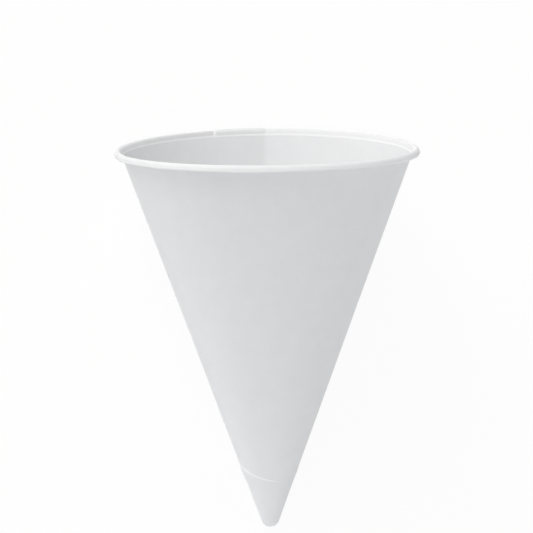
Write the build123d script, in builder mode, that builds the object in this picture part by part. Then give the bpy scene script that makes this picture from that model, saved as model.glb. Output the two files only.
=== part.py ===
from build123d import *
import os
from math import asin, atan2, cos, degrees, hypot, radians, sin, tan

# A cone paper cup: one sheet of paper wound into a cone, lapped and glued along its side,
# with a tail that goes round the gathered tip and a rim rolled outwards into a hollow bead.
# The cup lies on its side on z = 0, on its rolled rim and its tip, with the mouth towards +Y.
# Its lapped side is the heavier one, so that side is down. Millimetres and degrees.

# Driving dimensions of the cone and its paper
rim_diameter = 73.0  # over the rolled rim
wall_angle = 19.9  # between the wall and the cup's axis
tip_radius = 2.0  # inside the rounded tip
paper = 0.2  # one thickness of the sheet
tip_gather = 0.45  # thickness of the paper that is gathered and pressed round the tip
tip_taper = 5.0  # length of wall over which the gathered paper thins to one thickness

# Driving dimensions of the rolled rim
roll_across = 1.72  # outside of the roll, square to the wall
roll_along = 1.8  # outside of the roll, along the wall
roll_angle = 300.0  # how far the rim is rolled, from the wall round to its cut edge
flare_angle = 8.0  # by which the wall bends outwards at the crease below the roll
flare_length = 1.0  # from the crease to the roll

# Driving dimensions of the lap, where the end of the sheet lies on its beginning
lap_width = 12.0  # along the rim
lap_swing = -2.6  # turn of the lap's middle away from the floor side, which balances the cup
ramp_width = 4.0  # along the rim, where the sheet climbs onto its own beginning

# The sheet's outer end laid flat: the corners that its cut edge bends towards and the end of the
# tail, by their distances along and across the line from the cone's apex to the lap's edge at the rim
shoulder_along = 20.8
shoulder_across = 6.3
shoulder_lead = 7.0  # of the bend, measured up the lap's straight edge from the shoulder
bend_along = 15.3
bend_across = 16.5
tail_along = 0.6
tail_across = 17.1
tail_turn = 234.0  # round the cup from the lap's edge at the rim to the end of the tail
edge_overrun = 4.0  # by which the lap's cut edge is drawn past the crease
edge_steps = 32  # parts into which the cut edge is divided to wind it

# Section of the cup: x runs out from the axis, y along it, and the tip's centre is at 0, 0
slope = radians(wall_angle)
flare_slope = radians(wall_angle + flare_angle)
wall_along = Vector(sin(slope), cos(slope))
wall_out = Vector(cos(slope), -sin(slope))
flare_along = Vector(sin(flare_slope), cos(flare_slope))
flare_out = Vector(cos(flare_slope), -sin(flare_slope))
half_across = roll_across / 2
half_along = roll_along / 2
roll_reach = half_across * flare_out.X + hypot(half_across * flare_out.X, half_along * flare_along.X)
bead_reach = flare_length * flare_along.X + roll_reach
wall_length = (rim_diameter / 2 - bead_reach - tip_radius * wall_out.X) / wall_along.X
crease_inside = tip_radius * wall_out + wall_length * wall_along
crease_outside = crease_inside + paper / (1 + cos(radians(flare_angle))) * (wall_out + flare_out)
roll_start = crease_inside + flare_length * flare_along
bead_center = roll_start + half_across * flare_out

# Place of the cup: its axis is tilted so that the rolled rim and the tip both touch the floor
tip_outside = tip_radius + tip_gather
bead_distance = hypot(bead_center.X, bead_center.Y)
tilt = atan2(bead_center.X, bead_center.Y) + asin((half_across - tip_outside) / bead_distance)
axis_way = Vector(0, cos(tilt), sin(tilt))
floor_way = Vector(0, sin(tilt), -cos(tilt))
side_way = axis_way.cross(floor_way)
rim_y = bead_center.X * floor_way.Y + bead_center.Y * axis_way.Y + half_along
tip_center = Vector(0, (tip_outside - rim_y) / 2, tip_outside)
cup_axis = Axis(tip_center, axis_way)

# Turns about the axis, counted from the floor side
lap_angle = degrees(lap_width / crease_inside.X)
ramp_angle = degrees(ramp_width / crease_inside.X)
outer_edge_turn = lap_swing + lap_angle / 2
inner_edge_turn = lap_swing - lap_angle / 2
ramp_turn = inner_edge_turn - ramp_angle

# Slant distance from the cone's apex to the start of the wall and to the crease, on the outside
wall_start = (tip_radius + paper) / tan(slope)
crease_slant = wall_start + wall_length


def outwards(turn):
    """The direction straight out from the axis at a turn from the floor side."""
    return cos(radians(turn)) * floor_way + sin(radians(turn)) * side_way


def section(turn):
    """The plane of the cup's section at a turn from the floor side."""
    return Plane(tip_center, x_dir=outwards(turn), z_dir=outwards(turn).cross(axis_way))


def on_wall(turn, length, lift):
    """A point at a length up the wall from the tip's rounding, lifted off the inner face."""
    point = (tip_radius + lift) * wall_out + length * wall_along
    return tip_center + point.X * outwards(turn) + point.Y * axis_way


def wound(flat, lift):
    """Where a point of the flat sheet lies once the sheet is wound about its apex."""
    turn = outer_edge_turn + degrees(atan2(flat.Y, flat.X)) / sin(slope)
    return on_wall(turn, flat.length - wall_start, lift)


def layer(lift_from, lift_to):
    """Section of a layer of the wall between two lifts off the inner face, from tip to crease."""
    with BuildSketch() as face:
        with BuildLine():
            inner_tip = CenterArc((0, 0), tip_radius + lift_from, -90, 90 - wall_angle)
            inner_wall = Line(inner_tip @ 1, inner_tip @ 1 + wall_length * wall_along)
            outer_tip = CenterArc((0, 0), tip_radius + lift_to, -90, 90 - wall_angle)
            outer_wall = Line(outer_tip @ 1, outer_tip @ 1 + wall_length * wall_along)
            Line(inner_wall @ 1, outer_wall @ 1)
            Line(inner_tip @ 0, outer_tip @ 0)
        make_face()
    return face.sketch


def roll_line(across, along):
    """The oval line of the rolled rim, from the wall round to its cut edge, by its two half widths."""
    turned = -wall_angle - flare_angle
    return EllipticalCenterArc(bead_center, across, along, 180, arc_size=-roll_angle, rotation=turned)


def roll(thickness):
    """Section of the rolled rim, with the thickness of its sheet inside an even outline."""
    with BuildSketch() as face:
        with BuildLine():
            inner = roll_line(half_across - thickness, half_along - thickness)
            outer = roll_line(half_across, half_along)
            Line(inner @ 0, outer @ 0)
            Line(inner @ 1, outer @ 1)
        make_face()
    return face.sketch


# The cut edge of the sheet's outer end: down the lap from above the crease, round the shoulder
# of the tail and on past the tail's end
rim_corner = Vector(crease_slant, 0)
shoulder = Vector(shoulder_along, shoulder_across)
edge_start = rim_corner + edge_overrun * (rim_corner - shoulder).normalized()
bend_start = shoulder + shoulder_lead * (rim_corner - shoulder).normalized()
with BuildLine() as flat_edge:
    Line(edge_start, bend_start)
    Bezier(bend_start, shoulder, (bend_along, bend_across), (tail_along, tail_across))
flat_points = [flat_edge.wires()[0] @ (step / edge_steps) for step in range(edge_steps + 1)]
above_sheet = 3 * paper
with BuildLine() as edge_below:
    Spline(*[wound(point, 0) for point in flat_points])
with BuildLine() as edge_above:
    Spline(*[wound(point, above_sheet) for point in flat_points])
sheet_edge = Face.make_surface_from_curves(edge_below.edges()[0], edge_above.edges()[0])

# The plane on which the sheet climbs onto its own beginning, from half way through the wall
ramp_foot = on_wall(ramp_turn, 0, paper / 2)
ramp_way = on_wall(ramp_turn, wall_length, paper / 2) - ramp_foot
ramp_rise = on_wall(inner_edge_turn, wall_length, 2 * paper) - ramp_foot
ramp = Plane(ramp_foot, x_dir=ramp_way, z_dir=ramp_rise.cross(ramp_way))

# The outer end of the sheet: a second thickness from the ramp to the lap's edge and the tail
with BuildPart() as outer_end:
    with BuildSketch(section(ramp_turn)):
        add(layer(paper / 2, 2 * paper))
    revolve(axis=cup_axis, revolution_arc=outer_edge_turn + tail_turn - ramp_turn)
    split(bisect_by=ramp, keep=Keep.BOTTOM)
    split(bisect_by=sheet_edge, keep=Keep.ALL)

# The wedge under the climbing sheet, which shows inside the cup as the edge of the inner end
step_foot = (tip_radius - paper) * wall_out
step_top = step_foot + wall_length * wall_along
step_depth = 2 * paper * wall_out
with BuildPart() as inner_step:
    with BuildSketch(section(ramp_turn)):
        with BuildLine():
            Polyline(step_foot, step_top, step_top + step_depth, step_foot + step_depth, close=True)
        make_face()
    revolve(axis=cup_axis, revolution_arc=ramp_angle)
    split(bisect_by=ramp.offset(-paper), keep=Keep.BOTTOM)

# The cup: the wall with its gathered tip and the flare below its rim, the rolled rim, which is
# double over the lap, and the outer end
with BuildPart() as cone_cup:
    with BuildSketch(section(inner_edge_turn)):
        add(layer(0, paper))
        with BuildLine():
            outside = CenterArc((0, 0), tip_outside, -90, 90 - wall_angle)
            taper_end = (tip_radius + paper) * wall_out + tip_taper * wall_along
            Polyline(outside @ 1, taper_end, tip_radius * wall_out, (0, -tip_radius), outside @ 0)
        make_face()
        with BuildLine():
            Polyline(crease_inside, roll_start, roll_start + paper * flare_out, crease_outside, close=True)
        make_face()
    revolve(axis=cup_axis)
    with BuildSketch(section(outer_edge_turn)):
        add(roll(paper))
    revolve(axis=cup_axis, revolution_arc=360 - lap_angle)
    with BuildSketch(section(inner_edge_turn)):
        add(roll(2 * paper))
    revolve(axis=cup_axis, revolution_arc=lap_angle)
    add(outer_end.solids().sort_by(cup_axis)[0])
    add(inner_step.part, mode=Mode.SUBTRACT)

os.makedirs("parts", exist_ok=True)
cone_cup.part.label = "cone_cup"
export_step(cone_cup.part, "parts/cone_cup.step")
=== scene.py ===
"""Looks of a cone paper cup that lies on a pale floor and is seen from straight above its upper side.

The cup is one sheet of paper, so it is one piece: a shell that follows the sheet from the inside of
the tip, up the wall, over the rolled rim and back down the outside, and the sheet's outer end, which
lies on that shell from the lap round to the tail at the tip. Lengths are metres, angles radians.
"""

from math import asin, atan2, cos, hypot, pi, radians, sin, tan
from typing import NamedTuple

import bpy
import numpy as np
from bpy.props import FloatProperty, FloatVectorProperty, PointerProperty
from mathutils import Matrix, Vector


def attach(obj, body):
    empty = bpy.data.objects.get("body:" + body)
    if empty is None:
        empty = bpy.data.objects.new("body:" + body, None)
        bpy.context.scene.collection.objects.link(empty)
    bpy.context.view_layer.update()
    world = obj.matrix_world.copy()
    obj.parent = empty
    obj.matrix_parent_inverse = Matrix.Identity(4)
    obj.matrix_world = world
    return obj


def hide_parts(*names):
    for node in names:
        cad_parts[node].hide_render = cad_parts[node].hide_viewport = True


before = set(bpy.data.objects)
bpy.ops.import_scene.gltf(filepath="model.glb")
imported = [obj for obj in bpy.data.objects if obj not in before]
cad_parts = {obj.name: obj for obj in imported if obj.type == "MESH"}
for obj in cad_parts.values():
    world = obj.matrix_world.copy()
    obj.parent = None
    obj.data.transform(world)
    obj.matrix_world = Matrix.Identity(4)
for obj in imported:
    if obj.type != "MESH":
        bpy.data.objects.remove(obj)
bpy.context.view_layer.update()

bl_info = {
    "name": "Cone paper cup",
    "version": (1, 0, 0),
    "blender": (4, 5, 0),
    "location": "View3D > Sidebar > Paper cup",
    "description": "Winds a cone paper cup from one sheet and sets it on a plain stage",
    "category": "Add Mesh",
}

MM = 0.001

# Rows of points along each stretch of the sheet's line, and columns round the cup and along the outer end
TIP_ROWS = 9
FINE_WALL_ROWS = 36
COARSE_WALL_ROWS = 24
CREASE_ROWS = 14
FLARE_ROWS = 3
ROLL_ROWS = 40
SHELL_COLUMNS = 300
STRIP_COLUMNS = 280

# Slow waves round the rim: the size of each, how many of it go round, and where it starts
ROLL_END_WAVES = ((0.06, 5, 0.7), (0.05, 9, 2.1))
ROLL_SWELL_WAVES = ((0.012, 3, 0.4), (0.010, 7, 1.9))

# Turns from the cup's front to the marks of the rolling tool and to a dent, in degrees
BITE_TURNS = (-48.0, -13.0)
DENT_TURN = -80.0

# Share of the lap's lean by which its edge inside the rim is shifted all the way up
LAP_SHIFT = 0.4

# Shares of the cut edge's length, from the rim to the end of the tail, over which the tail begins,
# is pressed into the tip and runs out
TAIL_BEGINS = (0.72, 0.86)
TAIL_PRESSED = (0.9, 0.945)
TAIL_RUNS_OUT = (0.95, 0.98)

# The outer end's first rows, from its cut edge inwards: their places as shares of its width, their
# heights as shares of the paper where the edge is bevelled, and their painted highlight
EDGE_PLACES = np.array((0.0, 0.01, 0.03, 0.06))
EDGE_BEVEL = np.array((0.0, 0.35, 0.85, 1.0))
EDGE_HIGHLIGHT = np.array((1.0, 1.0, 1.0, 0.4))

# Sockets of a Mix node for colours: its share, its two colours and its result
MIX_SHARE = 0
MIX_FIRST = 6
MIX_SECOND = 7
MIX_RESULT = 2


class Lamp(NamedTuple):
    """A soft round lamp: its turn from the cup's front and its rise towards the mouth in degrees, its
    distance and size in metres, its power in watts, and its warmth in steps of the warm tint."""

    turn: float
    rise: float
    distance: float
    size: float
    power: float
    warmth: float


LAMPS = {
    "over_front": Lamp(turn=-28.0, rise=60.0, distance=0.9, size=0.6, power=2.95, warmth=1.6),
    "front": Lamp(turn=0.0, rise=5.0, distance=0.9, size=0.6, power=1.65, warmth=0.0),
    "left": Lamp(turn=-52.0, rise=35.0, distance=0.9, size=0.6, power=0.3, warmth=1.0),
    "over_left": Lamp(turn=-80.0, rise=60.0, distance=0.9, size=0.6, power=1.5, warmth=1.6),
    "low_left": Lamp(turn=-42.0, rise=-42.0, distance=0.3, size=0.18, power=0.19, warmth=0.0),
    "low_right": Lamp(turn=72.0, rise=-12.0, distance=0.9, size=0.3, power=1.75, warmth=0.0),
    "over_mouth": Lamp(turn=0.0, rise=78.0, distance=0.9, size=0.4, power=0.85, warmth=1.0),
}
WARM_TINT = np.array((0.0, 0.012, 0.035))  # what one step of warmth takes from red, green and blue


class CupSizes(bpy.types.PropertyGroup):
    """Sizes of the wound sheet, its rolled rim and its lap."""

    rim_diameter: FloatProperty(
        name="Rim diameter", description="Over the rolled rim", default=73.0 * MM, unit="LENGTH")
    wall_angle: FloatProperty(
        name="Wall angle", description="Between the wall and the cup's axis",
        default=radians(19.9), subtype="ANGLE")
    tip_radius: FloatProperty(
        name="Tip radius", description="Inside the rounded tip", default=2.0 * MM, unit="LENGTH")
    paper: FloatProperty(
        name="Paper", description="One thickness of the sheet", default=0.2 * MM, unit="LENGTH")
    tip_gather: FloatProperty(
        name="Tip gather", description="Thickness of the paper gathered round the tip",
        default=0.45 * MM, unit="LENGTH")
    roll_across: FloatProperty(
        name="Roll across", description="Outside of the roll, square to the wall",
        default=1.72 * MM, unit="LENGTH")
    roll_along: FloatProperty(
        name="Roll along", description="Outside of the roll, along the wall",
        default=1.8 * MM, unit="LENGTH")
    roll_angle: FloatProperty(
        name="Roll angle", description="How far the rim is rolled round to its cut edge",
        default=radians(285.0), subtype="ANGLE")
    flare_angle: FloatProperty(
        name="Flare angle", description="By which the wall bends outwards at the crease",
        default=radians(8.0), subtype="ANGLE")
    flare_length: FloatProperty(
        name="Flare length", description="From the crease to the roll", default=1.0 * MM, unit="LENGTH")
    lap_width: FloatProperty(
        name="Lap width", description="Of the lap, along the rim", default=12.0 * MM, unit="LENGTH")
    lap_swing: FloatProperty(
        name="Lap swing", description="Turn of the lap's middle away from the floor side",
        default=radians(-2.6), subtype="ANGLE")
    lap_lean: FloatProperty(
        name="Lap lean", description="Turn by which the lap's edge leans across the flare",
        default=radians(1.8), subtype="ANGLE")
    ramp_width: FloatProperty(
        name="Ramp width", description="Where the sheet climbs onto its own beginning, along the rim",
        default=4.0 * MM, unit="LENGTH")
    rim_wave: FloatProperty(
        name="Rim wave", description="By which the rim rises at the front and the back",
        default=0.24 * MM, unit="LENGTH")
    front_turn: FloatProperty(
        name="Front turn", description="Turn of the cup's front away from the floor side",
        default=radians(166.38), subtype="ANGLE")


class PaperLook(bpy.types.PropertyGroup):
    """Colours and finish of the paper."""

    sheet_colour: FloatVectorProperty(
        name="Sheet colour", description="Of the paper's faces", default=(0.85, 0.86, 0.879),
        subtype="COLOR", min=0.0, max=1.0)
    # Painted shade: colour of the lap's inside and of the rim beside it, standing in for less light through
    # two sheets and for shade on the rim
    painted_shade_colour: FloatVectorProperty(
        name="Lap colour", description="Of the lap's inside, where less light comes through two sheets",
        default=(0.74, 0.748, 0.764), subtype="COLOR", min=0.0, max=1.0)
    # Painted highlight: colour of the bright lines along the cut edges, the crease and the lap's edge, and
    # of the painted light towards the tip
    painted_highlight_colour: FloatVectorProperty(
        name="Cut colour", description="Of the loose fibres along a cut edge", default=(0.965, 0.972, 0.985),
        subtype="COLOR", min=0.0, max=1.0)
    roughness: FloatProperty(
        name="Roughness", description="Of the paper's faces", default=0.62, min=0.0, max=1.0)


class StageSetup(bpy.types.PropertyGroup):
    """Floor, light and camera."""

    floor_colour: FloatVectorProperty(
        name="Floor colour", description="Of the plain floor", default=(0.96, 0.96, 0.96),
        subtype="COLOR", min=0.0, max=1.0)
    floor_white: FloatProperty(
        name="Floor white", description="Share of plain white in what the camera sees of the floor",
        default=0.92, min=0.0, max=1.0)
    sky_strength: FloatProperty(
        name="Sky strength", description="Of the even light from all round", default=0.28, min=0.0)
    lamp_level: FloatProperty(
        name="Lamp level", description="Of all lamps together", default=1.0, min=0.0)
    lens: FloatProperty(
        name="Lens", description="Of the camera, for a 36 mm sensor", default=236.4, min=1.0)
    camera_distance: FloatProperty(
        name="Camera distance", description="From the point aimed at", default=840.3 * MM, unit="LENGTH")
    camera_rise: FloatProperty(
        name="Camera rise", description="Of the camera above the plane square to the cup's axis",
        default=radians(9.089), subtype="ANGLE")
    camera_roll: FloatProperty(
        name="Camera roll", description="By which the cup's axis leans in the picture",
        default=radians(0.522), subtype="ANGLE")
    aim_along: FloatProperty(
        name="Aim along", description="Distance of the point aimed at up the axis from the tip",
        default=61.75 * MM, unit="LENGTH")
    aim_side: FloatProperty(
        name="Aim side", description="Distance of the point aimed at beside the axis",
        default=-0.373 * MM, unit="LENGTH")


class CupSection:
    """The cup's section and its place, worked out from the sizes.

    In the section x runs out from the axis and y along it, with the tip's centre at 0, 0.
    """

    def __init__(self, sizes):
        slope = sizes.wall_angle
        flare = slope + sizes.flare_angle
        self.slope = slope
        self.sizes = sizes
        self.wall_along = np.array((sin(slope), cos(slope)))
        self.wall_out = np.array((cos(slope), -sin(slope)))
        self.flare_along = np.array((sin(flare), cos(flare)))
        self.flare_out = np.array((cos(flare), -sin(flare)))
        self.half_across = sizes.roll_across / 2
        self.half_along = sizes.roll_along / 2
        reach = hypot(self.half_across * self.flare_out[0], self.half_along * self.flare_along[0])
        roll_reach = self.half_across * self.flare_out[0] + reach
        bead_reach = sizes.flare_length * self.flare_along[0] + roll_reach
        wall_reach = sizes.rim_diameter / 2 - bead_reach - sizes.tip_radius * self.wall_out[0]
        self.wall_length = wall_reach / self.wall_along[0]
        self.crease = sizes.tip_radius * self.wall_out + self.wall_length * self.wall_along
        self.roll_start = self.crease + sizes.flare_length * self.flare_along
        self.bead_center = self.roll_start + self.half_across * self.flare_out
        tip_outside = sizes.tip_radius + sizes.tip_gather
        distance = hypot(*self.bead_center)
        self.tilt = atan2(*self.bead_center) + asin((self.half_across - tip_outside) / distance)
        self.axis = np.array((0.0, cos(self.tilt), sin(self.tilt)))
        self.floor_way = np.array((0.0, sin(self.tilt), -cos(self.tilt)))
        self.side_way = np.cross(self.axis, self.floor_way)
        rim_y = self.bead_center @ (self.floor_way[1], self.axis[1]) + self.half_along
        self.tip_center = np.array((0.0, (tip_outside - rim_y) / 2, tip_outside))
        lap_angle = sizes.lap_width / self.crease[0]
        self.outer_edge_turn = sizes.lap_swing + lap_angle / 2
        self.inner_edge_turn = sizes.lap_swing - lap_angle / 2
        self.ramp_turn = self.inner_edge_turn - sizes.ramp_width / self.crease[0]
        self.bite_turns = sizes.front_turn + np.radians(BITE_TURNS)
        self.dent_turn = sizes.front_turn + radians(DENT_TURN)
        self.wall_start = (sizes.tip_radius + sizes.paper) / tan(slope)
        self.crease_slant = self.wall_start + self.wall_length

    def outwards(self, turn):
        """The direction straight out from the axis: the floor side's turned about the axis."""
        turn = np.asarray(turn)[..., None]
        return np.cos(turn) * self.floor_way + np.sin(turn) * self.side_way

    def place(self, section, turn):
        """Points of the cup from points of the section and their turns, lifted by the rim's wave."""
        out = section[..., :1]
        along = section[..., 1:] + self.rim_rise(section[..., 1], turn)[..., None]
        return self.tip_center + out * self.outwards(turn) + along * self.axis

    def rim_rise(self, along, turn):
        """How far the wavy rim lifts a point along the axis: a cosine twice round, growing up the wall."""
        wave_start = 0.45 * self.crease[1]
        share = smooth_step(along, wave_start, self.bead_center[1])
        return self.sizes.rim_wave * np.cos(2 * (turn - self.sizes.front_turn)) * share

    def in_roll(self, height):
        """How much a height belongs to the roll: 0 up to the crease, rising smoothly to 1 at the roll."""
        return smooth_step(height, self.crease[1], self.roll_start[1])

    def past_crease(self, height):
        """Distance up the wall from the crease to a height."""
        return (height - self.crease[1]) / cos(self.slope)

    def past_inner_edge(self, turns):
        """Turns counted from the edge of the sheet's beginning."""
        return from_turn(turns, self.inner_edge_turn)

    def past_outer_edge(self, height, turns):
        """Turns counted from the lap's edge inside the rim, whose lean is lost smoothly up to the roll."""
        lap_lean = self.sizes.lap_lean
        lean = lap_lean * (1 - smooth_step(height, self.crease[1], self.bead_center[1]))
        return from_turn(turns, self.outer_edge_turn + LAP_SHIFT * lap_lean + lean)


def smooth_step(value, low, high):
    """Rises from 0 at low to 1 at high with level ends: 3 t squared less 2 t cubed."""
    share = np.clip((value - low) / (high - low), 0.0, 1.0)
    return share * share * (3 - 2 * share)


def bell(value, width):
    """A bell curve, 1 at 0: falls exponentially with the square of the value over its width."""
    return np.exp(-(value / width) ** 2)


def fading(past, step, fade):
    """A mark that starts with a smooth step and dies away past its place, by a falling exponential."""
    return smooth_step(past, *step) * np.exp(-np.maximum(past, 0.0) / fade)


def between(first, second, share):
    """A value that goes evenly from the first to the second as the share goes from 0 to 1."""
    return first + (second - first) * share


def waves_round(turns, waves):
    """The sum of some waves round the cup: each is its size by the sine of its count times the turn."""
    return sum(size * np.sin(count * turns + start) for size, count, start in waves)


def from_turn(turns, start):
    """Turns counted from a start, from half a turn before it to half a turn after it."""
    return (turns - start + pi) % (2 * pi) - pi


def on_upper_side(turns):
    """How much a turn belongs to the cup's upper side: the squared sine of its half, 0 at the floor."""
    return np.sin(turns / 2) ** 2


def turned_right(along):
    """Unit vectors a quarter turn clockwise from the ways given in the section."""
    along = along / np.linalg.norm(along, axis=-1, keepdims=True)
    return np.stack((along[..., 1], -along[..., 0]), axis=-1)


def steps(start, end, count):
    """Even steps from a start to an end, without the start itself."""
    return np.linspace(start, end, count + 1)[1:]


def sheet_line(cup, turns):
    """The inner face of the sheet as lines in the section, one for each turn, with their normals.

    It is a quarter round at the tip, a straight wall, a small bend at the crease, a straight flare and
    part of a pressed oval at the rim, whose size changes round the cup. The bend is a curve of the
    second degree. The normals point through the paper, to its outer face. Gives points and normals as
    rows along the sheet, by turns, by x and y.
    """
    bend = 0.5 * MM
    fine_length = 36.0 * MM
    tip_radius = cup.sizes.tip_radius
    tip_angle = np.linspace(-pi / 2, -cup.slope, TIP_ROWS)
    tip_out = np.stack((np.cos(tip_angle), np.sin(tip_angle)), axis=1)
    fine = steps(0.0, fine_length, FINE_WALL_ROWS)
    coarse = steps(fine_length, cup.wall_length - bend, COARSE_WALL_ROWS)
    wall = tip_radius * cup.wall_out + np.concatenate((fine, coarse))[:, None] * cup.wall_along
    bend_from = cup.crease - bend * cup.wall_along
    bend_to = cup.crease + bend * cup.flare_along
    part = steps(0.0, 1.0, CREASE_ROWS)[:, None]
    crease = (1 - part) ** 2 * bend_from + 2 * part * (1 - part) * cup.crease + part ** 2 * bend_to
    crease_way = (1 - part) * (cup.crease - bend_from) + part * (bend_to - cup.crease)
    flare = bend_to + steps(0.0, 1.0, FLARE_ROWS)[:, None] * (cup.roll_start - bend_to)
    even_line = np.concatenate((tip_radius * tip_out, wall, crease, flare))
    even_out = np.concatenate((
        tip_out,
        np.broadcast_to(cup.wall_out, wall.shape),
        turned_right(crease_way),
        np.broadcast_to(cup.flare_out, flare.shape)))
    roll = cup.roll_start + roll_swell(cup, turns)[:, None] * pressed_oval(cup, turns)
    roll_out = turned_right(np.gradient(roll, axis=0))
    points = np.concatenate((np.repeat(even_line[:, None], len(turns), axis=1), roll))
    normals = np.concatenate((np.repeat(even_out[:, None], len(turns), axis=1), roll_out))
    return points, normals


def pressed_oval(cup, turns):
    """The roll's line from its start round to its cut edge, one for each turn: an oval that is pressed.

    The oval goes out by one less the cosine of its angle and up by the sine. On the cup's upper side
    it is thinner, and past its top it leans outwards in proportion to its drop, so that the roll's
    face looks up. On the floor side it is plain.
    """
    thinner = 0.28
    lean = 0.5
    lean_from = radians(60.0)
    lean_to = radians(150.0)
    press = on_upper_side(turns)[:, None]
    angle = steps(0.0, 1.0, ROLL_ROWS)[:, None, None] * roll_end(cup, turns)[:, None]
    oval = (1 - np.cos(angle)) * cup.half_across * (1 - thinner * press) * cup.flare_out
    oval = oval + np.sin(angle) * cup.half_along * cup.flare_along
    drop = oval[..., 1].max(axis=0) - oval[..., 1]
    oval[..., 0] += lean * press[:, 0] * drop * smooth_step(angle[..., 0], lean_from, lean_to)
    return oval


def roll_end(cup, turns):
    """How far the roll goes round at each turn: its mean and slow waves, as paper never curls evenly."""
    return cup.sizes.roll_angle + waves_round(turns, ROLL_END_WAVES)


def roll_swell(cup, turns):
    """The roll's size at each turn as a share of its mean: slow waves, bites, a dent and a slimmer side.

    A bite of the rolling tool starts at once and dies away along the rim. The dent is a narrow bell
    curve. The roll is slimmer on the cup's upper side, and all of it fades to nothing on the floor side.
    """
    bite_step = (-0.012, 0.012)
    bite_fade = 0.45
    bite_size = 0.12
    dent_width = 0.03
    dent_depth = 0.5
    slimmer = 0.06
    bites = bite_size * fading(from_turn(turns, cup.bite_turns[:, None]), bite_step, bite_fade)
    dent = dent_depth * bell(from_turn(turns, cup.dent_turn), dent_width)
    swell = waves_round(turns, ROLL_SWELL_WAVES) + bites.sum(axis=0) - dent - slimmer
    return 1 + swell * on_upper_side(turns)


def shell_turns(cup):
    """Turns of the shell's columns: even ones, and close ones beside the lap's edges and the rim's marks."""
    even = np.arange(SHELL_COLUMNS) * 2 * pi / SHELL_COLUMNS
    beside = np.radians((-0.9, -0.45, -0.15, 0.15, 0.45, 0.9))
    lean_shares = LAP_SHIFT + np.array((0.0, 0.5, 1.0))
    lap_edges = cup.outer_edge_turn + cup.sizes.lap_lean * lean_shares
    marks = np.concatenate(((cup.inner_edge_turn, cup.dent_turn), lap_edges, cup.bite_turns))
    close = (marks[:, None] + beside).ravel()
    return np.unique(np.concatenate((even, close % (2 * pi))))


def wound_shell(cup):
    """The sheet as a closed shell: its inner face and its outer face, joined at the rim's cut edge.

    Each face is the sheet's line, moved along its normals by a depth and turned about the axis. The
    inner face has a ridge along the crease, and the outer face a low one where a hidden edge shows
    through. Gives the points, the mask of painted light (highlights and light towards the tip) and the
    mask of painted shade on and beside the lap.
    """
    ridge_height = 0.055 * MM
    turns = shell_turns(cup)
    line, normals = sheet_line(cup, turns)
    rows = len(line)
    height = line[:, :1, 1]
    depth = sheet_depth(cup, height, turns)
    inner_depth = depth - ridge_height * crease_ridge(cup, height)
    outer_depth = np.maximum(depth, 0.0) + cup.sizes.paper + shown_edge(cup, line, turns)
    inner = line + normals * inner_depth[..., None]
    outer = line + normals * outer_depth[..., None]
    lip = (inner[-1:] + outer[-1:]) / 2
    section = np.concatenate((inner, lip, outer[::-1]))
    points = cup.place(section, np.broadcast_to(turns, section.shape[:2]))
    painted_light = np.zeros(section.shape[:2])
    painted_light[:rows] = painted_inner_highlights(cup, height, turns)
    painted_light[rows + 1:] = painted_tip_light(line[::-1] @ cup.wall_along)
    # Painted highlight along the rim's cut edge, where the two faces meet
    painted_light[rows - 1:rows + 2] = 1.0
    shade = np.zeros(section.shape[:2])
    shade[:rows] = painted_lap_shade(cup, height, turns)
    return points, painted_light, shade


def sheet_depth(cup, height, turns):
    """How far the inner face lies behind the sheet's line, by height and turn.

    It sinks evenly over the ramp, up to the edge of the sheet's beginning, and not near the tip. In the
    roll it stands out over the lap by one thickness of the paper.
    """
    sink_share = 0.3
    sink_step = (-0.008, 0.008)
    sink_heights = (6.0 * MM, 16.0 * MM)
    lap_begins = (-0.012, 0.012)
    lap_ends = (-0.004, 0.004)
    past_inner = cup.past_inner_edge(turns)
    past_outer = cup.past_outer_edge(height, turns)
    ramp_share = from_turn(turns, cup.ramp_turn) / (cup.inner_edge_turn - cup.ramp_turn)
    sink = np.clip(ramp_share, 0.0, 1.0) * (1 - smooth_step(past_inner, *sink_step))
    sink = sink_share * sink * smooth_step(height, *sink_heights)
    doubled = smooth_step(past_inner, *lap_begins) * (1 - smooth_step(past_outer, *lap_ends))
    return cup.sizes.paper * (sink - doubled * cup.in_roll(height))


def crease_ridge(cup, height):
    """The ridge along the crease, as a share of its height: a bell curve across the crease."""
    ridge_width = 0.22 * MM
    return bell(cup.past_crease(height), ridge_width)


def over_crease(cup, height):
    """How much a height belongs to the rim: a smooth step from 0 to 1 over the crease."""
    crease_step = (-0.1 * MM, 0.15 * MM)
    return smooth_step(cup.past_crease(height), *crease_step)


def painted_inner_highlights(cup, height, turns):
    """Painted highlights of the inner face: a bright line along the crease, and a bell curve along the lap's
    edge.
    """
    crease_highlight = 0.8
    lap_edge_highlight = 0.5
    lap_edge_width = 0.01
    lap_edge = bell(cup.past_outer_edge(height, turns), lap_edge_width) * over_crease(cup, height)
    return np.maximum(crease_highlight * crease_ridge(cup, height), lap_edge_highlight * lap_edge)


def painted_lap_shade(cup, height, turns):
    """Painted shade on the inner face, from two marks that start with a step and die away.

    One starts at the edge of the sheet's beginning and is weaker in the roll: it stands in for less light
    coming through two sheets. The other starts at the lap's edge and is painted shade on the rim beside the
    lap.
    """
    wall_shade = 0.6
    roll_shade = 0.2
    beside_shade = 0.9
    doubled = fading(cup.past_inner_edge(turns), step=(-0.03, 0.03), fade=0.4)
    beside = fading(cup.past_outer_edge(height, turns), step=(0.0, 0.02), fade=0.8)
    on_lap = doubled * between(wall_shade, roll_shade, cup.in_roll(height))
    return on_lap + beside_shade * beside * over_crease(cup, height)


def painted_tip_light(length):
    """Painted light: how much whiter the paper is drawn by its length up the wall, most at the tip."""
    whiter = 0.15
    dies_out = (12.0 * MM, 40.0 * MM)
    return whiter * (1 - smooth_step(length, *dies_out))


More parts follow.
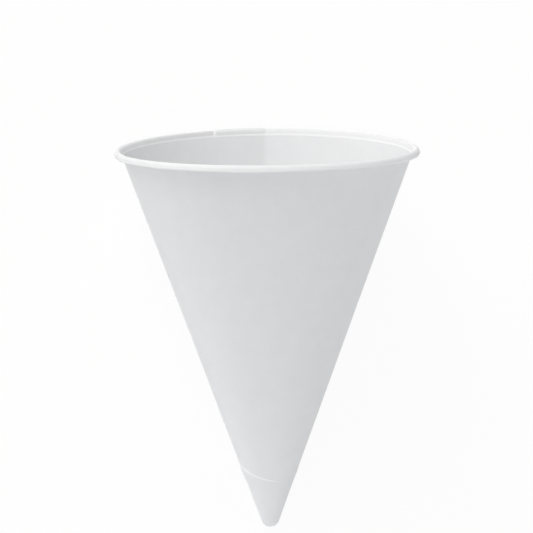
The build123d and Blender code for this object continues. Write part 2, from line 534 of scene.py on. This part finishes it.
def shown_edge(cup, line, turns):
    """Height of a low ridge on the outside where an edge of the paper underneath shows through.

    It runs straight on the flat sheet, at a fixed distance from the line of the lap's edge, with a
    broad flank towards that line and a narrow one away from it, and dies out up the wall.
    """
    ridge_height = 0.22 * MM
    lap_distance = 18.8 * MM
    broad_flank = 6.0 * MM
    narrow_flank = 1.5 * MM
    begins = (17.0 * MM, 22.0 * MM)
    dies_out = (30.0 * MM, 40.0 * MM)
    slant = cup.wall_start + line @ cup.wall_along
    flat_angle = ((turns - cup.outer_edge_turn) % (2 * pi)) * sin(cup.slope)
    across = slant * np.sin(np.minimum(flat_angle, pi / 2)) - lap_distance
    flanks = smooth_step(across, -broad_flank, 0.0) * (1 - smooth_step(across, 0.0, narrow_flank))
    along = smooth_step(slant, *begins) * (1 - smooth_step(slant, *dies_out))
    return ridge_height * flanks * along


def cut_edge(cup):
    """The cut edge of the sheet's outer end on the flat sheet, and the ways that point into the sheet.

    A straight line down the lap from just over the crease, then one cubic curve round the shoulder and
    on to the end of the tail. Points are spread evenly along it. The apex is at 0, 0 and the lap's edge
    at the rim is on the x axis. Gives points, ways and the share of the length at each point.
    """
    overrun = 0.3 * MM
    shoulder_lead = 7.0 * MM
    curve_points = 200
    rim_corner = np.array((cup.crease_slant + overrun, 0.0))
    shoulder = np.array((20.8, 6.3)) * MM
    bend = np.array((15.3, 16.5)) * MM
    tail = np.array((0.6, 17.1)) * MM
    lap_way = (rim_corner - shoulder) / np.linalg.norm(rim_corner - shoulder)
    bend_start = shoulder + shoulder_lead * lap_way
    part = np.linspace(0.0, 1.0, curve_points)[:, None]
    rest = 1 - part
    curve = (
        rest ** 3 * bend_start + 3 * part * rest ** 2 * shoulder
        + 3 * part ** 2 * rest * bend + part ** 3 * tail)
    line = np.concatenate((rim_corner + part[:-1] * (bend_start - rim_corner), curve))
    length = np.concatenate(((0.0,), np.cumsum(np.linalg.norm(np.diff(line, axis=0), axis=1))))
    even = np.linspace(0.0, length[-1], STRIP_COLUMNS)
    edge = np.stack((np.interp(even, length, line[:, 0]), np.interp(even, length, line[:, 1])), axis=1)
    inward = -turned_right(np.gradient(edge, axis=0))
    return edge, inward, even / length[-1]


def outer_end(cup):
    """The sheet's outer end as a closed strip: a thin section carried along the cut edge.

    The section's top is flat beside the cut edge, at the paper's height, then falls smoothly to just
    under the wall's face at its full width, and its bottom stays under that face. Both widths are less
    at the tail, whose edge is bevelled and whose end is pressed flat and runs out. All of it is drawn
    on the flat sheet and wound: the turn is the flat angle over the sine of the wall's angle. Gives
    the points and the mask of painted light: a painted highlight along the cut edge, dimmer where the
    tail is pressed, and painted light towards the tip.
    """
    tail_thinner = 0.2
    press_thinner = 0.65
    press_dims_highlight = 0.9
    lap_flat = 5.0 * MM
    lap_full = 11.0 * MM
    tail_flat = 0.8 * MM
    tail_full = 6.5 * MM
    inner_places = np.linspace(0.1, 1.0, 10)
    under = -0.04 * MM
    sizes = cup.sizes
    edge, inward, share = cut_edge(cup)
    at_tail = smooth_step(share, *TAIL_BEGINS)
    pressed = smooth_step(share, *TAIL_PRESSED)
    run_out = smooth_step(share, *TAIL_RUNS_OUT)
    height = sizes.paper * (1 - tail_thinner * at_tail - press_thinner * pressed) * (1 - run_out)
    flat_width = between(lap_flat, tail_flat, at_tail)
    full_width = between(lap_full, tail_full, at_tail)
    across = np.concatenate((EDGE_PLACES, inner_places))
    edge_rows = len(EDGE_PLACES)
    reach = across[:, None] * full_width
    top = under + (height - under) * (1 - smooth_step(reach, flat_width, full_width))
    bevel = between(1.0, EDGE_BEVEL[:, None], at_tail)
    top[:edge_rows] = under + (top[:edge_rows] - under) * bevel
    bottom = np.full((len(across) - 1, len(share)), under)
    lift = np.concatenate((top, bottom))
    reach = np.concatenate((reach, reach[-2::-1]))
    flat = edge + reach[..., None] * inward
    length = np.hypot(flat[..., 0], flat[..., 1]) - cup.wall_start
    turn = cup.outer_edge_turn + np.arctan2(flat[..., 1], flat[..., 0]) / sin(cup.slope)
    away = (sizes.tip_radius + sizes.paper + lift)[..., None] * cup.wall_out
    points = cup.place(away + length[..., None] * cup.wall_along, turn)
    painted_light = painted_tip_light(length)
    # Painted highlight along the cut edge, dimmer where the tail is pressed flat
    edge_highlight = EDGE_HIGHLIGHT[:, None] * (1 - press_dims_highlight * pressed)
    painted_light[:edge_rows] = np.maximum(painted_light[:edge_rows], edge_highlight)
    return points, painted_light


def shell_faces(rows, columns):
    """Faces of a grid closed round its columns, whose first and last rows are poles of one point each."""
    first = 1
    last = first + (rows - 2) * columns
    ring = first + np.arange(rows - 2)[:, None] * columns + np.arange(columns)
    after = np.roll(ring, -1, axis=1)
    quads = np.stack((ring[:-1], after[:-1], after[1:], ring[1:]), axis=-1).reshape(-1, 4)
    first_fan = np.stack((np.zeros(columns, int), after[0], ring[0]), axis=-1)
    last_fan = np.stack((np.full(columns, last), ring[-1], after[-1]), axis=-1)
    return [quads, first_fan, last_fan]


def with_poles(grid):
    """A grid of values as one list, in which its first and last rows are one value each."""
    middle = grid[1:-1].reshape(-1, *grid.shape[2:])
    return np.concatenate((grid[0, :1], middle, grid[-1, :1]))


def strip_faces(rows, columns):
    """Faces of a tube whose rows go round it and whose columns run along it, with an end at each side."""
    ring = np.arange(rows)[:, None] * columns + np.arange(columns)
    after = np.roll(ring, -1, axis=0)
    quads = np.stack((ring[:, :-1], after[:, :-1], after[:, 1:], ring[:, 1:]), axis=-1).reshape(-1, 4)
    ends = np.stack((ring[::-1, 0], ring[:, -1]))
    return [quads, ends]


def signed_volume(points, groups):
    """Six times the volume inside groups of faces, by fans of triangles: negative if they point inwards."""
    total = 0.0
    for faces in groups:
        corners = points[faces]
        for k in range(1, faces.shape[1] - 1):
            total += np.sum(corners[:, 0] * np.cross(corners[:, k], corners[:, k + 1]))
    return total


def facing_out(points, groups):
    """The same groups of faces, turned over if they point inwards."""
    if signed_volume(points - points.mean(axis=0), groups) < 0:
        return [faces[:, ::-1] for faces in groups]
    return groups


def put_mesh(name, points, groups, masks):
    """A smooth mesh object at the origin with its masks as named attributes of its points."""
    mesh = bpy.data.meshes.new(name)
    mesh.from_pydata(points.tolist(), [], [face for faces in groups for face in faces.tolist()])
    if mesh.validate():
        raise RuntimeError(f"the mesh of {name} has faulty faces")
    for mask, values in masks.items():
        mesh.attributes.new(mask, "FLOAT", "POINT").data.foreach_set("value", values.astype(np.float32))
    mesh.polygons.foreach_set("use_smooth", np.ones(len(mesh.polygons), dtype=bool))
    mesh.update()
    piece = bpy.data.objects.new(name, mesh)
    bpy.context.scene.collection.objects.link(piece)
    return piece


def blank_material(name):
    """A material with an empty node tree, and that tree."""
    material = bpy.data.materials.new(name)
    material.use_nodes = True
    material.node_tree.nodes.clear()
    return material, material.node_tree


def add_node(tree, kind, place, values=(), **settings):
    """A node of a kind at a place in the tree, with the values of its sockets and its settings."""
    node = tree.nodes.new(kind)
    node.location = place
    for name, setting in settings.items():
        setattr(node, name, setting)
    for socket, value in dict(values).items():
        node.inputs[socket].default_value = value
    return node


def make_paper(look):
    """White uncoated paper: cloudy, with short fibres in its surface, painted shade on and beside the lap,
    and painted highlights along the cut edges, the crease and the lap's edge, with painted light towards the
    tip.
    """
    roughness_spread = 0.08
    material, tree = blank_material("paper")
    link = tree.links.new
    output = add_node(tree, "ShaderNodeOutputMaterial", (900, 0))
    shader = add_node(tree, "ShaderNodeBsdfPrincipled", (600, 0), {"Specular IOR Level": 0.3})
    where = add_node(tree, "ShaderNodeTexCoord", (-900, 0))
    clouds = add_node(
        tree, "ShaderNodeTexNoise", (-650, 200), {"Scale": 260.0, "Detail": 4.0, "Roughness": 0.6})
    fibres = add_node(
        tree, "ShaderNodeTexNoise", (-650, -150), {"Scale": 2600.0, "Detail": 3.0, "Roughness": 0.7})
    # Mask of painted light: highlights along the cut edges, the crease and the lap's edge, and light towards
    # the tip
    painted_light = add_node(tree, "ShaderNodeAttribute", (-650, 450), attribute_name="painted_light_mask")
    # Mask of painted shade on and beside the lap
    lap = add_node(tree, "ShaderNodeAttribute", (-650, 650), attribute_name="painted_lap_shade")
    painted_shade_colours = {MIX_FIRST: (*look.sheet_colour, 1.0), MIX_SECOND: (*look.painted_shade_colour, 1.0)}
    painted_shade_mix = add_node(tree, "ShaderNodeMix", (-400, 550), painted_shade_colours, data_type="RGBA")
    cloud_levels = {"From Min": 0.3, "From Max": 0.7, "To Min": 0.975, "To Max": 1.0}
    shade = add_node(tree, "ShaderNodeMapRange", (-400, 200), cloud_levels)
    sheet = add_node(
        tree, "ShaderNodeMix", (-150, 250), {MIX_SHARE: 1.0}, data_type="RGBA", blend_type="MULTIPLY")
    painted_highlight_colours = {MIX_SECOND: (*look.painted_highlight_colour, 1.0)}
    highlighted = add_node(tree, "ShaderNodeMix", (150, 250), painted_highlight_colours, data_type="RGBA")
    bump = add_node(tree, "ShaderNodeBump", (300, -200), {"Strength": 0.25, "Distance": 0.04 * MM})
    rough_levels = {"To Min": look.roughness - roughness_spread, "To Max": look.roughness + roughness_spread}
    rough = add_node(tree, "ShaderNodeMapRange", (150, 0), rough_levels)
    link(where.outputs["Object"], clouds.inputs["Vector"])
    link(where.outputs["Object"], fibres.inputs["Vector"])
    link(lap.outputs["Fac"], painted_shade_mix.inputs[MIX_SHARE])
    link(painted_shade_mix.outputs[MIX_RESULT], sheet.inputs[MIX_FIRST])
    link(clouds.outputs["Fac"], shade.inputs["Value"])
    link(shade.outputs["Result"], sheet.inputs[MIX_SECOND])
    link(painted_light.outputs["Fac"], highlighted.inputs[MIX_SHARE])
    link(sheet.outputs[MIX_RESULT], highlighted.inputs[MIX_FIRST])
    link(highlighted.outputs[MIX_RESULT], shader.inputs["Base Color"])
    link(fibres.outputs["Fac"], rough.inputs["Value"])
    link(rough.outputs["Result"], shader.inputs["Roughness"])
    link(fibres.outputs["Fac"], bump.inputs["Height"])
    link(bump.outputs["Normal"], shader.inputs["Normal"])
    link(shader.outputs["BSDF"], output.inputs["Surface"])
    return material


def make_floor_paint(setup):
    """Plain floor: as written under the lamps, and nearly white to the camera with the cup's shadow."""
    material, tree = blank_material("floor_paint")
    link = tree.links.new
    output = add_node(tree, "ShaderNodeOutputMaterial", (600, 0))
    lit = add_node(tree, "ShaderNodeBsdfDiffuse", (0, 100), {"Color": (*setup.floor_colour, 1.0)})
    white_light = {"Color": (1.0, 1.0, 1.0, 1.0), "Strength": 1.0}
    white = add_node(tree, "ShaderNodeEmission", (0, -100), white_light)
    rays = add_node(tree, "ShaderNodeLightPath", (-400, 400))
    seen = add_node(tree, "ShaderNodeMath", (-200, 400), operation="MAXIMUM")
    share = add_node(tree, "ShaderNodeMath", (0, 400), {1: setup.floor_white}, operation="MULTIPLY")
    mix = add_node(tree, "ShaderNodeMixShader", (300, 0))
    link(rays.outputs["Is Camera Ray"], seen.inputs[0])
    link(rays.outputs["Is Glossy Ray"], seen.inputs[1])
    link(seen.outputs[0], share.inputs[0])
    link(share.outputs[0], mix.inputs[0])
    link(lit.outputs[0], mix.inputs[1])
    link(white.outputs[0], mix.inputs[2])
    link(mix.outputs[0], output.inputs["Surface"])
    return material


class CUP_OT_wind_sheet(bpy.types.Operator):
    """Winds the sheet into the cup, with its rolled rim, its lap and its tail"""

    bl_idname = "paper_cup.wind_sheet"
    bl_label = "Wind the sheet"

    def execute(self, context):
        cup = CupSection(context.scene.cup_sizes)
        shell_grid, shell_painted_light, shell_painted_shade = wound_shell(cup)
        strip_grid, strip_painted_light = outer_end(cup)
        shell = with_poles(shell_grid)
        strip = strip_grid.reshape(-1, 3)
        shell_groups = facing_out(shell, shell_faces(*shell_painted_light.shape))
        strip_groups = facing_out(strip, strip_faces(*strip_painted_light.shape))
        groups = shell_groups + [faces + len(shell) for faces in strip_groups]
        masks = {
            "painted_light_mask": np.concatenate((with_poles(shell_painted_light), strip_painted_light.ravel())),
            "painted_lap_shade": np.concatenate((with_poles(shell_painted_shade), np.zeros(len(strip)))),
        }
        piece = put_mesh("paper_cup", np.concatenate((shell, strip)), groups, masks)
        piece.data.materials.append(make_paper(context.scene.paper_look))
        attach(piece, "root")
        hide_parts("cone_cup")
        return {"FINISHED"}


class CUP_OT_set_stage(bpy.types.Operator):
    """Sets the floor under the cup, the soft light and the camera"""

    bl_idname = "paper_cup.set_stage"
    bl_label = "Set the stage"

    def execute(self, context):
        setup = context.scene.stage_setup
        cup = CupSection(context.scene.cup_sizes)
        context.scene.view_settings.view_transform = "Standard"
        self.lay_floor(context, setup)
        self.light(context, setup, cup)
        self.aim_camera(context, setup, cup)
        return {"FINISHED"}

    def lay_floor(self, context, setup):
        """A square floor at the height that the cup lies on."""
        half = 1.5
        corners = [(-half, -half, 0), (half, -half, 0), (half, half, 0), (-half, half, 0)]
        mesh = bpy.data.meshes.new("floor")
        mesh.from_pydata(corners, [], [(0, 1, 2, 3)])
        mesh.materials.append(make_floor_paint(setup))
        floor = bpy.data.objects.new("floor", mesh)
        context.scene.collection.objects.link(floor)

    def light(self, context, setup, cup):
        """Even light from all round and large soft lamps about the cup's front, aimed at its middle."""
        middle_along = 50.0 * MM
        middle = cup.tip_center + middle_along * cup.axis
        world = bpy.data.worlds.new("studio")
        world.use_nodes = True
        sky = world.node_tree.nodes["Background"]
        sky.inputs["Color"].default_value = (1.0, 1.0, 1.0, 1.0)
        sky.inputs["Strength"].default_value = setup.sky_strength
        context.scene.world = world
        for name, lamp in LAMPS.items():
            out = cup.outwards(cup.sizes.front_turn + radians(lamp.turn))
            way = cos(radians(lamp.rise)) * out + sin(radians(lamp.rise)) * cup.axis
            data = bpy.data.lights.new(name, "AREA")
            data.shape = "DISK"
            data.size = lamp.size
            data.energy = lamp.power * setup.lamp_level
            data.color = 1.0 - lamp.warmth * WARM_TINT
            light = bpy.data.objects.new(name, data)
            aim = Vector(way).to_track_quat("Z", "Y").to_matrix().to_4x4()
            light.matrix_world = Matrix.Translation(Vector(middle + lamp.distance * way)) @ aim
            context.scene.collection.objects.link(light)

    def aim_camera(self, context, setup, cup):
        """A camera over the cup's upper side, risen towards its mouth and turned by the roll."""
        sensor_width = 36.0
        front = cup.outwards(cup.sizes.front_turn)
        side = np.cross(cup.axis, front)
        aim = cup.tip_center + setup.aim_along * cup.axis + setup.aim_side * side
        back = cos(setup.camera_rise) * front + sin(setup.camera_rise) * cup.axis
        up = np.cross(back, side)
        right = side * cos(setup.camera_roll) - up * sin(setup.camera_roll)
        up = np.cross(back, right)
        data = bpy.data.cameras.new("camera")
        data.sensor_width = sensor_width
        data.lens = setup.lens
        camera = bpy.data.objects.new("camera", data)
        turn = Matrix((right, up, back)).transposed().to_4x4()
        camera.matrix_world = Matrix.Translation(Vector(aim + setup.camera_distance * back)) @ turn
        context.scene.collection.objects.link(camera)
        context.scene.camera = camera


class CUP_PT_panel(bpy.types.Panel):
    """Lists the steps that make the cup and its stage"""

    bl_idname = "CUP_PT_panel"
    bl_label = "Cone paper cup"
    bl_space_type = "VIEW_3D"
    bl_region_type = "UI"
    bl_category = "Paper cup"

    def draw(self, context):
        for operator in (CUP_OT_wind_sheet, CUP_OT_set_stage):
            self.layout.operator(operator.bl_idname)


CLASSES = (CupSizes, PaperLook, StageSetup, CUP_OT_wind_sheet, CUP_OT_set_stage, CUP_PT_panel)


def register():
    """Registers the classes and hangs the settings on the scene."""
    for item in CLASSES:
        bpy.utils.register_class(item)
    bpy.types.Scene.cup_sizes = PointerProperty(type=CupSizes)
    bpy.types.Scene.paper_look = PointerProperty(type=PaperLook)
    bpy.types.Scene.stage_setup = PointerProperty(type=StageSetup)


def unregister():
    """Takes the settings off the scene and the classes out again."""
    del bpy.types.Scene.stage_setup
    del bpy.types.Scene.paper_look
    del bpy.types.Scene.cup_sizes
    for item in reversed(CLASSES):
        bpy.utils.unregister_class(item)


def main():
    register()
    bpy.ops.paper_cup.wind_sheet()
    bpy.ops.paper_cup.set_stage()


if __name__ == "__main__":
    main()
